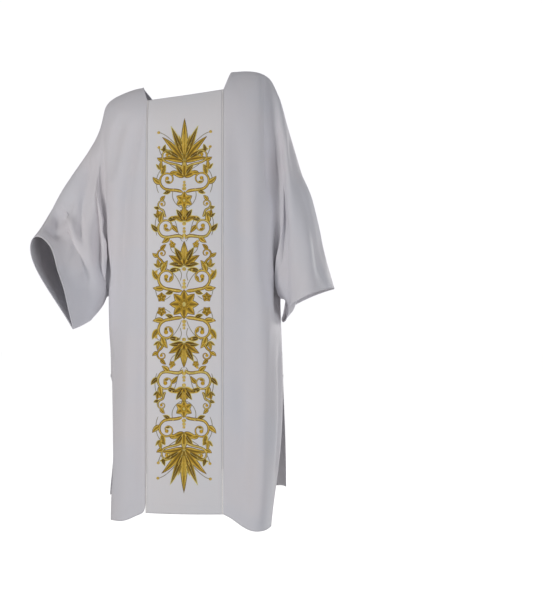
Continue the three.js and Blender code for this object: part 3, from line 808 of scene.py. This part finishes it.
def quarter_design():
    """The strokes of one quarter of the design, and those that stand on its middle line."""
    side, middle = [], []
    lines = [scroll_line(row) for row in SCROLLS]
    for line in TENDRILS:
        side.append(new_stroke(curve(*line, count=26), 1.7, "even", 0.3, 1.0, 1.0))
    for row in LEAVES:
        line = lines[row["scroll"]]
        at = int(row["at"] * (len(line) - 1))
        heading = line[min(at + 1, len(line) - 1)] - line[max(at - 1, 0)]
        degrees = math.degrees(math.atan2(heading[1], heading[0]))
        petal(side, line[at], degrees + row["side"] * row["angle"], row["length"], row["width"],
              -row["side"] * 30, row["tone"], 0.75)
    for row, line in zip(SCROLLS, lines):
        side.append(new_stroke(line, row["width"] + 1.2, "stem", 0.4, 0.05, 0.05))
        side.append(new_stroke(line, row["width"] - 1.2, "stem", 0.95, row["tone"] - 0.3,
                               row["tone"] + 0.3))
        dot(side, line[-1], row["width"] * 0.62, 0.45, 1.0)
    for row in FANS:
        alone = row["at"][0] > 0
        for k in range(row["count"], 0, -1):
            share = k / row["count"]
            length = row["long"] + (row["short"] - row["long"]) * share
            for turn in (-1, 1) if alone else (-1,):
                petal(side, row["at"], 90 + row["lean"] + turn * row["spread"] * share, length,
                      row["width"] * (1 - 0.2 * share), turn * row["curl"] * share,
                      row["tone"] - 0.34 * (k % 2), 0.8 + 0.05 * (row["count"] - k))
        petal(side if alone else middle, row["at"], 90 + row["lean"], row["long"], row["width"], 0,
              row["tone"] + 0.1, 1.0)
    for u, v, radius in BERRIES:
        dot(side, (u, v), radius, 0.62)
    for v, radius in STEM_DOTS:
        dot(middle, (0, v), radius, 0.68)
    for row in ROSETTES:
        into = side if row["at"][0] else middle
        turn = 360 / row["petals"]
        for ring, scale in ((0, 1.0), (1, 0.58)):
            for k in range(row["petals"]):
                petal(into, row["at"], turn * (k + ring / 2) + 90, row["radius"] * scale,
                      row["width"] * scale, 0, row["tone"] - 0.16 * ring, 0.7 + 0.3 * ring)
        dot(into, row["at"], row["radius"] * 0.17, 0.8, 1.3)
    return side, middle


def whole_design():
    """All strokes, mirrored across and along the band."""
    side, middle = quarter_design()
    found = [{**stroke, "line": stroke["line"] * (across, along)}
             for across in (1, -1) for along in (1, -1) for stroke in side]
    doubled = [stroke for stroke in middle if abs(stroke["line"][:, 1].mean()) >= CENTRE_REACH]
    return found + middle + [{**stroke, "line": stroke["line"] * (1, -1)} for stroke in doubled]


def stroke_grid(stroke):
    """The stroke's points across and along it, with their heights, tones and thread places."""
    line = stroke["line"] * MM
    step = unit(np.gradient(line, axis=0))
    beside = np.stack([-step[:, 1], step[:, 0]], 1)
    so_far = run_lengths(line)
    t = so_far / so_far[-1]
    share = PROFILES[stroke["profile"]](t)
    half = np.maximum(stroke["width"] / 2 * share, LEAST_HALF) * MM
    flat = line[:, None, :] + beside[:, None, :] * (half[:, None] * CROSS)[:, :, None]
    shape = VEINED if stroke["veined"] else DOMED
    height = shape[None, :] * stroke["lift"] * (0.35 + 0.65 * share)[:, None]
    core = 1 - np.abs(CROSS)[None, :]
    tone = stroke["edge"] + (stroke["core"] - stroke["edge"]) * core
    if stroke["veined"]:
        tone = tone + 0.18 * (t[:, None] - 0.35) * (1 - core)
    tone = np.clip(tone, 0, 1) * np.ones_like(height)
    thread = np.stack([half[:, None] * CROSS, so_far[:, None] * np.ones(5)], 2)
    return flat, height, tone, thread


# ---- Building the pieces ----
MADE = {}  # what the operators hand on to each other: band points, pieces and slit tops


def sewn_side_panels(cloth):
    """The four side panels as one smooth, creased sheet with their marks."""
    bm = bmesh.new()
    for mark, row in enumerate(SIDE_PANELS):
        outer_sheet(bm, row["node"], row["face"], mark)
    bmesh.ops.remove_doubles(bm, verts=bm.verts[:], dist=SEAM_WELD)
    bmesh.ops.recalc_face_normals(bm, faces=bm.faces[:])
    sheet = subdivided(finished_mesh(bm, "side_panels"), cloth.detail, "side_panels")
    points = mesh_points(sheet)
    normals = face_outward(sheet, np.sign(points[:, 1]) * (np.abs(points[:, 1]) > 0.08))
    marks = np.zeros(len(sheet.polygons), int)
    sheet.polygons.foreach_get("material_index", marks)
    owner = np.zeros(len(points), int)
    for face, mark in zip(sheet.polygons, marks):
        owner[list(face.vertices)] = mark
    runs, sewn = boundary_runs(sheet)
    kinds = {"hem": [], "cuff": [], "slit": [], "neck": [], "band": []}
    for a, b in runs:
        kinds[edge_kind(a, b)].append((a, b))
    from_seam, from_band = distances(points, sewn), distances(points, kinds["band"])
    calm = smooth(from_seam, 0, SEAM_CALM) * smooth(from_band, 0, BAND_CALM)
    push = np.zeros(len(points))
    for crease in CREASES:
        mine = owner == crease["panel"]
        push[mine] += crease_depth(points[mine], crease)
    for crease in SIDE_CREASES:
        beyond = crease["beyond"] * MM
        mine = (owner == crease["panel"]) & (np.abs(points[:, 0]) > beyond)
        fade = smooth(np.abs(points[mine, 0]), beyond, beyond + SIDE_CREASE_FADE)
        push[mine] += crease_depth(points[mine], crease, 1) * fade
    points = points + normals * (push * calm * cloth.creases)[:, None]
    set_points(sheet, points)
    set_attribute(sheet, "from_hem", distances(points, kinds["hem"] + kinds["cuff"]))
    set_attribute(sheet, "from_slit", distances(points, kinds["slit"]))
    set_attribute(sheet, "from_neck", distances(points, kinds["neck"]))
    set_attribute(sheet, "from_seam", np.minimum(from_seam, from_band + BAND_SEAM_OFFSET))
    pressed = SEAM_PRESS * (1 - smooth(from_seam, 0, SEAM_PRESS_WIDTH))
    set_points(sheet, points - mesh_normals(sheet) * pressed[:, None])
    return sheet, slit_ends(sewn)


def slit_ends(sewn):
    """Where each side seam ends and the slit begins: the sewn place nearest below the arm."""
    found = []
    for side in (-1, 1):
        below = [p for pair in sewn for p in pair if p[0] * side > 0.1 and p[2] < -0.7]
        found.append(min(below, key=lambda p: p[2]))
    return found


class DALMATIC_OT_side_panels(bpy.types.Operator):
    """Makes the four side panels, each in one with its half sleeve"""

    bl_idname = "dalmatic.side_panels"
    bl_label = "Side panels"

    def execute(self, context):
        cloth = context.scene.dalmatic_cloth
        sheet, MADE["slit_tops"] = sewn_side_panels(cloth)
        material = cloth_material("white_cloth", cloth.cloth_colour, 0.72, 1300.0, 0.00012,
                                  cloth.hem, 0.25, 0.3)
        for mark, row in enumerate(SIDE_PANELS):
            name = f"cloth_{row['node']}"
            piece = add_object(name, split_off(sheet, mark, name))
            thin_wall(piece, cloth.thickness)
            dress(piece, "white_cloth", material, row["node"])
        bpy.data.meshes.remove(sheet)
        return {"FINISHED"}


def waved_band(row, detail):
    """One band as a smooth sheet with its soft waves and its marks, and its points."""
    bm = bmesh.new()
    outer_sheet(bm, row["node"], row["face"], 0)
    sheet = subdivided(finished_mesh(bm, row["node"]), detail, row["node"])
    points, normals = mesh_points(sheet), face_outward(sheet, row["face"])
    middle = 1 - smooth(np.abs(points[:, 0]), 0.06, 0.094)
    for wave in BAND_WAVES:
        if wave["face"] == row["face"]:
            off = points[:, 2] - wave["z"] * MM - wave["slant"] * points[:, 0]
            push = wave["depth"] * MM * np.exp(-((off / wave["width"] / MM) ** 2)) * middle
            points += normals * push[:, None]
    set_points(sheet, points)
    runs, _ = boundary_runs(sheet)
    half_way = points[:, 2].min() / 2
    across, beside = [], []
    for a, b in runs:
        (across if abs(a[0] - b[0]) > abs(a[2] - b[2]) else beside).append((a, b))
    set_attribute(sheet, "from_hem", distances(points, [r for r in across if r[0][2] < half_way]))
    set_attribute(sheet, "from_neck", distances(points, [r for r in across if r[0][2] > half_way]))
    set_attribute(sheet, "from_slit", np.ones(len(points)))
    set_attribute(sheet, "from_seam", distances(points, beside) + BAND_SEAM_OFFSET)
    for face in sheet.polygons:
        face.use_smooth = True
    return sheet, points


class DALMATIC_OT_bands(bpy.types.Operator):
    """Makes the satin bands down the front and the back"""

    bl_idname = "dalmatic.bands"
    bl_label = "Bands"

    def execute(self, context):
        cloth = context.scene.dalmatic_cloth
        material = cloth_material("band_satin", cloth.band_colour, 0.5, 1700.0, 0.00006,
                                  cloth.hem, 0.1, 0.5)
        for row in BANDS:
            sheet, MADE[row["node"]] = waved_band(row, cloth.detail)
            piece = add_object(f"cloth_{row['node']}", sheet)
            MADE[f"{row['node']}_sheet"] = piece
            thin_wall(piece, cloth.thickness)
            dress(piece, "band_satin", material, row["node"])
        return {"FINISHED"}


def seam_line(points, x):
    """The points of a sheet on one straight edge, from the top down."""
    on = points[np.abs(points[:, 0] - x) < 0.35 * MM]
    return on[np.argsort(-on[:, 2])]


class DALMATIC_OT_pipings(bpy.types.Operator):
    """Makes the four thin pipings in the seams beside the bands"""

    bl_idname = "dalmatic.pipings"
    bl_label = "Pipings"

    def execute(self, context):
        cloth = context.scene.dalmatic_cloth
        material = piping_material(cloth.piping_colour)
        for row in PIPINGS:
            line = seam_line(MADE[row["band"]], row["side"] * BAND_HALF)
            tangent = unit(np.gradient(line, axis=0))
            beside = unit(np.array([row["side"], 0, 0]) - tangent * tangent[:, :1] * row["side"])
            out = np.cross(tangent, beside)
            out *= np.sign(out[:, 1:2] * row["face"])
            centre = line + beside * PIPING_OUT - out * PIPING_DOWN
            angle = np.linspace(0, 2 * np.pi, PIPING_SEGMENTS, endpoint=False)
            wide, high = PIPING_RADII
            ring = (centre[:, None, :] + beside[:, None, :] * (wide * np.cos(angle))[:, None]
                    + out[:, None, :] * (high * np.sin(angle))[:, None])
            run = run_lengths(centre)
            bm = bmesh.new()
            uv = bm.loops.layers.uv.new("run")
            verts = [[bm.verts.new(p) for p in loop] for loop in ring]
            for at, (near, far) in enumerate(zip(verts, verts[1:])):
                for k in range(PIPING_SEGMENTS):
                    n = (k + 1) % PIPING_SEGMENTS
                    face = bm.faces.new((near[k], far[k], far[n], near[n]))
                    face.smooth = True
                    shares = ((k, at), (k, at + 1), (k + 1, at + 1), (k + 1, at))
                    for loop, (a, b) in zip(face.loops, shares):
                        loop[uv].uv = (a / PIPING_SEGMENTS, run[b])
            bm.faces.new(verts[0])
            bm.faces.new(list(reversed(verts[-1])))
            bmesh.ops.recalc_face_normals(bm, faces=bm.faces[:])
            mesh = finished_mesh(bm, f"cord_{row['node']}")
            piece = add_object(mesh.name, mesh)
            dress(piece, "piping_thread", material, row["node"])
            MADE.setdefault(f"{row['band']}_trims", []).append(piece)
        return {"FINISHED"}


class DALMATIC_OT_embroidery(bpy.types.Operator):
    """Lays the gold scrollwork on both bands"""

    bl_idname = "dalmatic.embroidery"
    bl_label = "Embroidery"

    def execute(self, context):
        settings = context.scene.dalmatic_embroidery
        material = thread_material(settings)
        grids = [stroke_grid(stroke) for stroke in whole_design()]
        for row in BANDS:
            band = MADE[f"{row['node']}_sheet"]
            bm = bmesh.new()
            bm.from_mesh(band.data)
            tree = BVHTree.FromBMesh(bm)
            bm.free()
            stitched = self.lay(row, tree, grids, settings.relief, material)
        return {"FINISHED"}

    def lay(self, row, tree, grids, relief, material):
        towards = Vector((0, -row["face"], 0))

        def hit(x, z):
            found = tree.ray_cast(Vector((x, row["face"], z)), towards)
            if found[0] is None:
                raise RuntimeError(f"the embroidery leaves {row['node']} at {x:.3f}, {z:.3f}")
            return found[0], found[1]

        heights = np.arange(row["top"], -1.13 if row["face"] < 0 else -1.06, -4 * MM)
        run = run_lengths(np.array([hit(0, z)[0][:] for z in heights]))
        points, tones, threads, faces = [], [], [], []
        for flat, height, tone, thread in grids:
            first = len(points)
            rows, columns = height.shape
            places = np.interp(DESIGN_HALF * MM - flat[:, :, 1], run, heights)
            for i, j in np.ndindex(rows, columns):
                at, normal = hit(flat[i, j, 0], places[i, j])
                if normal.y * row["face"] < 0:
                    normal = -normal
                points.append(at + normal * (EMBROIDERY_LIFT + relief * height[i, j]))
            tones.extend(tone.ravel())
            threads.extend(thread.reshape(-1, 2))
            for i, j in np.ndindex(rows - 1, columns - 1):
                a = first + i * columns + j
                faces.append((a, a + 1, a + columns + 1, a + columns))
        bm = bmesh.new()
        uv = bm.loops.layers.uv.new("thread")
        tone_layer = bm.verts.layers.float.new("tone")
        verts = [bm.verts.new(p) for p in points]
        for vert, tone in zip(verts, tones):
            vert[tone_layer] = tone
        for quad in faces:
            face = bm.faces.new([verts[k] for k in quad])
            face.smooth = True
            for loop, k in zip(face.loops, quad):
                loop[uv].uv = threads[k]
        bm.normal_update()
        wrong = [f for f in bm.faces if f.normal.y * row["face"] < 0]
        bmesh.ops.reverse_faces(bm, faces=wrong)
        mesh = finished_mesh(bm, f"embroidery_{row['node']}")
        piece = add_object(mesh.name, mesh)
        dress(piece, "gold_thread", material)
        return piece


class DALMATIC_OT_slit_stitches(bpy.types.Operator):
    """Sews a short bar of thread across the top of each side slit"""

    bl_idname = "dalmatic.slit_stitches"
    bl_label = "Slit stitches"

    def execute(self, context):
        bm = bmesh.new()
        for place in MADE["slit_tops"]:
            side = math.copysign(1, place[0])
            for k in range(9):
                at = Vector(place) + Vector((side * 0.7 * MM, 0, (k * 0.9 - 2) * MM))
                made = bmesh.ops.create_uvsphere(bm, u_segments=8, v_segments=6, radius=1)
                bmesh.ops.scale(bm, vec=(0.6 * MM, 5 * MM, 0.45 * MM), verts=made["verts"])
                bmesh.ops.translate(bm, vec=at, verts=made["verts"])
        for face in bm.faces:
            face.smooth = True
        mesh = finished_mesh(bm, "slit_stitches")
        material, nodes = new_material("stitch_thread", Roughness=0.6)
        noise = nodes.noise(nodes.place(), 900.0)
        nodes.shade(Base_Color=nodes.mix(noise, (0.72, 0.71, 0.74, 1), (0.84, 0.83, 0.85, 1)),
                    Normal=nodes.bump(0.5, 0.2 * MM, noise))
        dress(add_object("slit_stitches", mesh), "white_cloth", material)
        return {"FINISHED"}


class DALMATIC_OT_stage(bpy.types.Operator):
    """Sets up the pale floor, the soft lights and the camera"""

    bl_idname = "dalmatic.stage"
    bl_label = "Stage"

    def execute(self, context):
        settings = context.scene.dalmatic_stage
        bm = bmesh.new()
        bmesh.ops.create_grid(bm, x_segments=8, y_segments=8, size=40)
        bmesh.ops.translate(bm, vec=(0, 0, settings.floor), verts=bm.verts[:])
        mesh = finished_mesh(bm, "floor")
        floor = add_object("floor", mesh)
        material, nodes = new_material("pale_floor", Roughness=0.9, Base_Color=(0.7, 0.7, 0.7, 1),
                                       Emission_Color=(1, 1, 1, 1))
        nodes.shade(Emission_Strength=nodes.seen(settings.glow, 0.85))
        mesh.materials.append(material)
        world = bpy.data.worlds.new("room")
        context.scene.world = world
        world.use_nodes = True
        nodes = Nodes(world.node_tree)
        back = world.node_tree.nodes["Background"]
        back.inputs[0].default_value = (0.98, 0.975, 1.0, 1)
        nodes.put(back.inputs[1], nodes.seen(settings.world, 1.05))
        context.scene.view_settings.view_transform = "Standard"
        lights = [
            ("key", (-2.3, -2.4, 0.0), 0.7, settings.key, (1.0, 0.975, 0.96)),
            ("fill", (2.4, -2.2, -0.4), 1.6, settings.key * 0.62, (0.93, 0.96, 1.0)),
            ("rear", (2.0, 2.4, 0.1), 0.9, settings.key * 1.1, (1.0, 0.99, 0.98)),
        ]
        for name, place, size, power, colour in lights:
            data = bpy.data.lights.new(name, "AREA")
            data.size, data.energy, data.color = size, power, colour
            light = add_object(name, data)
            light.location = place
            aim = OBJECT_AIM - Vector(place)
            light.rotation_euler = aim.to_track_quat("-Z", "Y").to_euler()
        data = bpy.data.cameras.new("camera")
        data.lens, data.sensor_width = 43.62, 36
        data.shift_x, data.shift_y = 0.139, 0.065
        camera = add_object("camera", data)
        turn = math.radians(4)
        camera.location = (2.0 * math.sin(turn), -2.0 * math.cos(turn), -0.711)
        camera.rotation_euler = (math.pi / 2, 0, turn)
        context.scene.camera = camera
        return {"FINISHED"}


STEPS = [
    DALMATIC_OT_side_panels,
    DALMATIC_OT_bands,
    DALMATIC_OT_pipings,
    DALMATIC_OT_embroidery,
    DALMATIC_OT_slit_stitches,
    DALMATIC_OT_stage,
]


class DALMATIC_PT_panel(bpy.types.Panel):
    """Lists the steps that make the dalmatic, and its settings"""

    bl_label = "Dalmatic"
    bl_idname = "DALMATIC_PT_panel"
    bl_space_type = "VIEW_3D"
    bl_region_type = "UI"
    bl_category = "Dalmatic"

    def draw(self, context):
        for step in STEPS:
            self.layout.operator(step.bl_idname)
        for name in SETTINGS:
            group = getattr(context.scene, name)
            box = self.layout.box()
            for prop in type(group).__annotations__:
                box.prop(group, prop)


SETTINGS = {"dalmatic_cloth": DalmaticClothSettings,
            "dalmatic_embroidery": DalmaticEmbroiderySettings,
            "dalmatic_stage": DalmaticStageSettings}
CLASSES = [*SETTINGS.values(), *STEPS, DALMATIC_PT_panel]


def register():
    for made in CLASSES:
        bpy.utils.register_class(made)
    for name, group in SETTINGS.items():
        setattr(bpy.types.Scene, name, PointerProperty(type=group))


def unregister():
    for name in SETTINGS:
        delattr(bpy.types.Scene, name)
    for made in reversed(CLASSES):
        bpy.utils.unregister_class(made)


def main():
    register()
    for step in STEPS:
        getattr(bpy.ops.dalmatic, step.bl_idname.split(".")[1])()


if __name__ == "__main__":
    main()
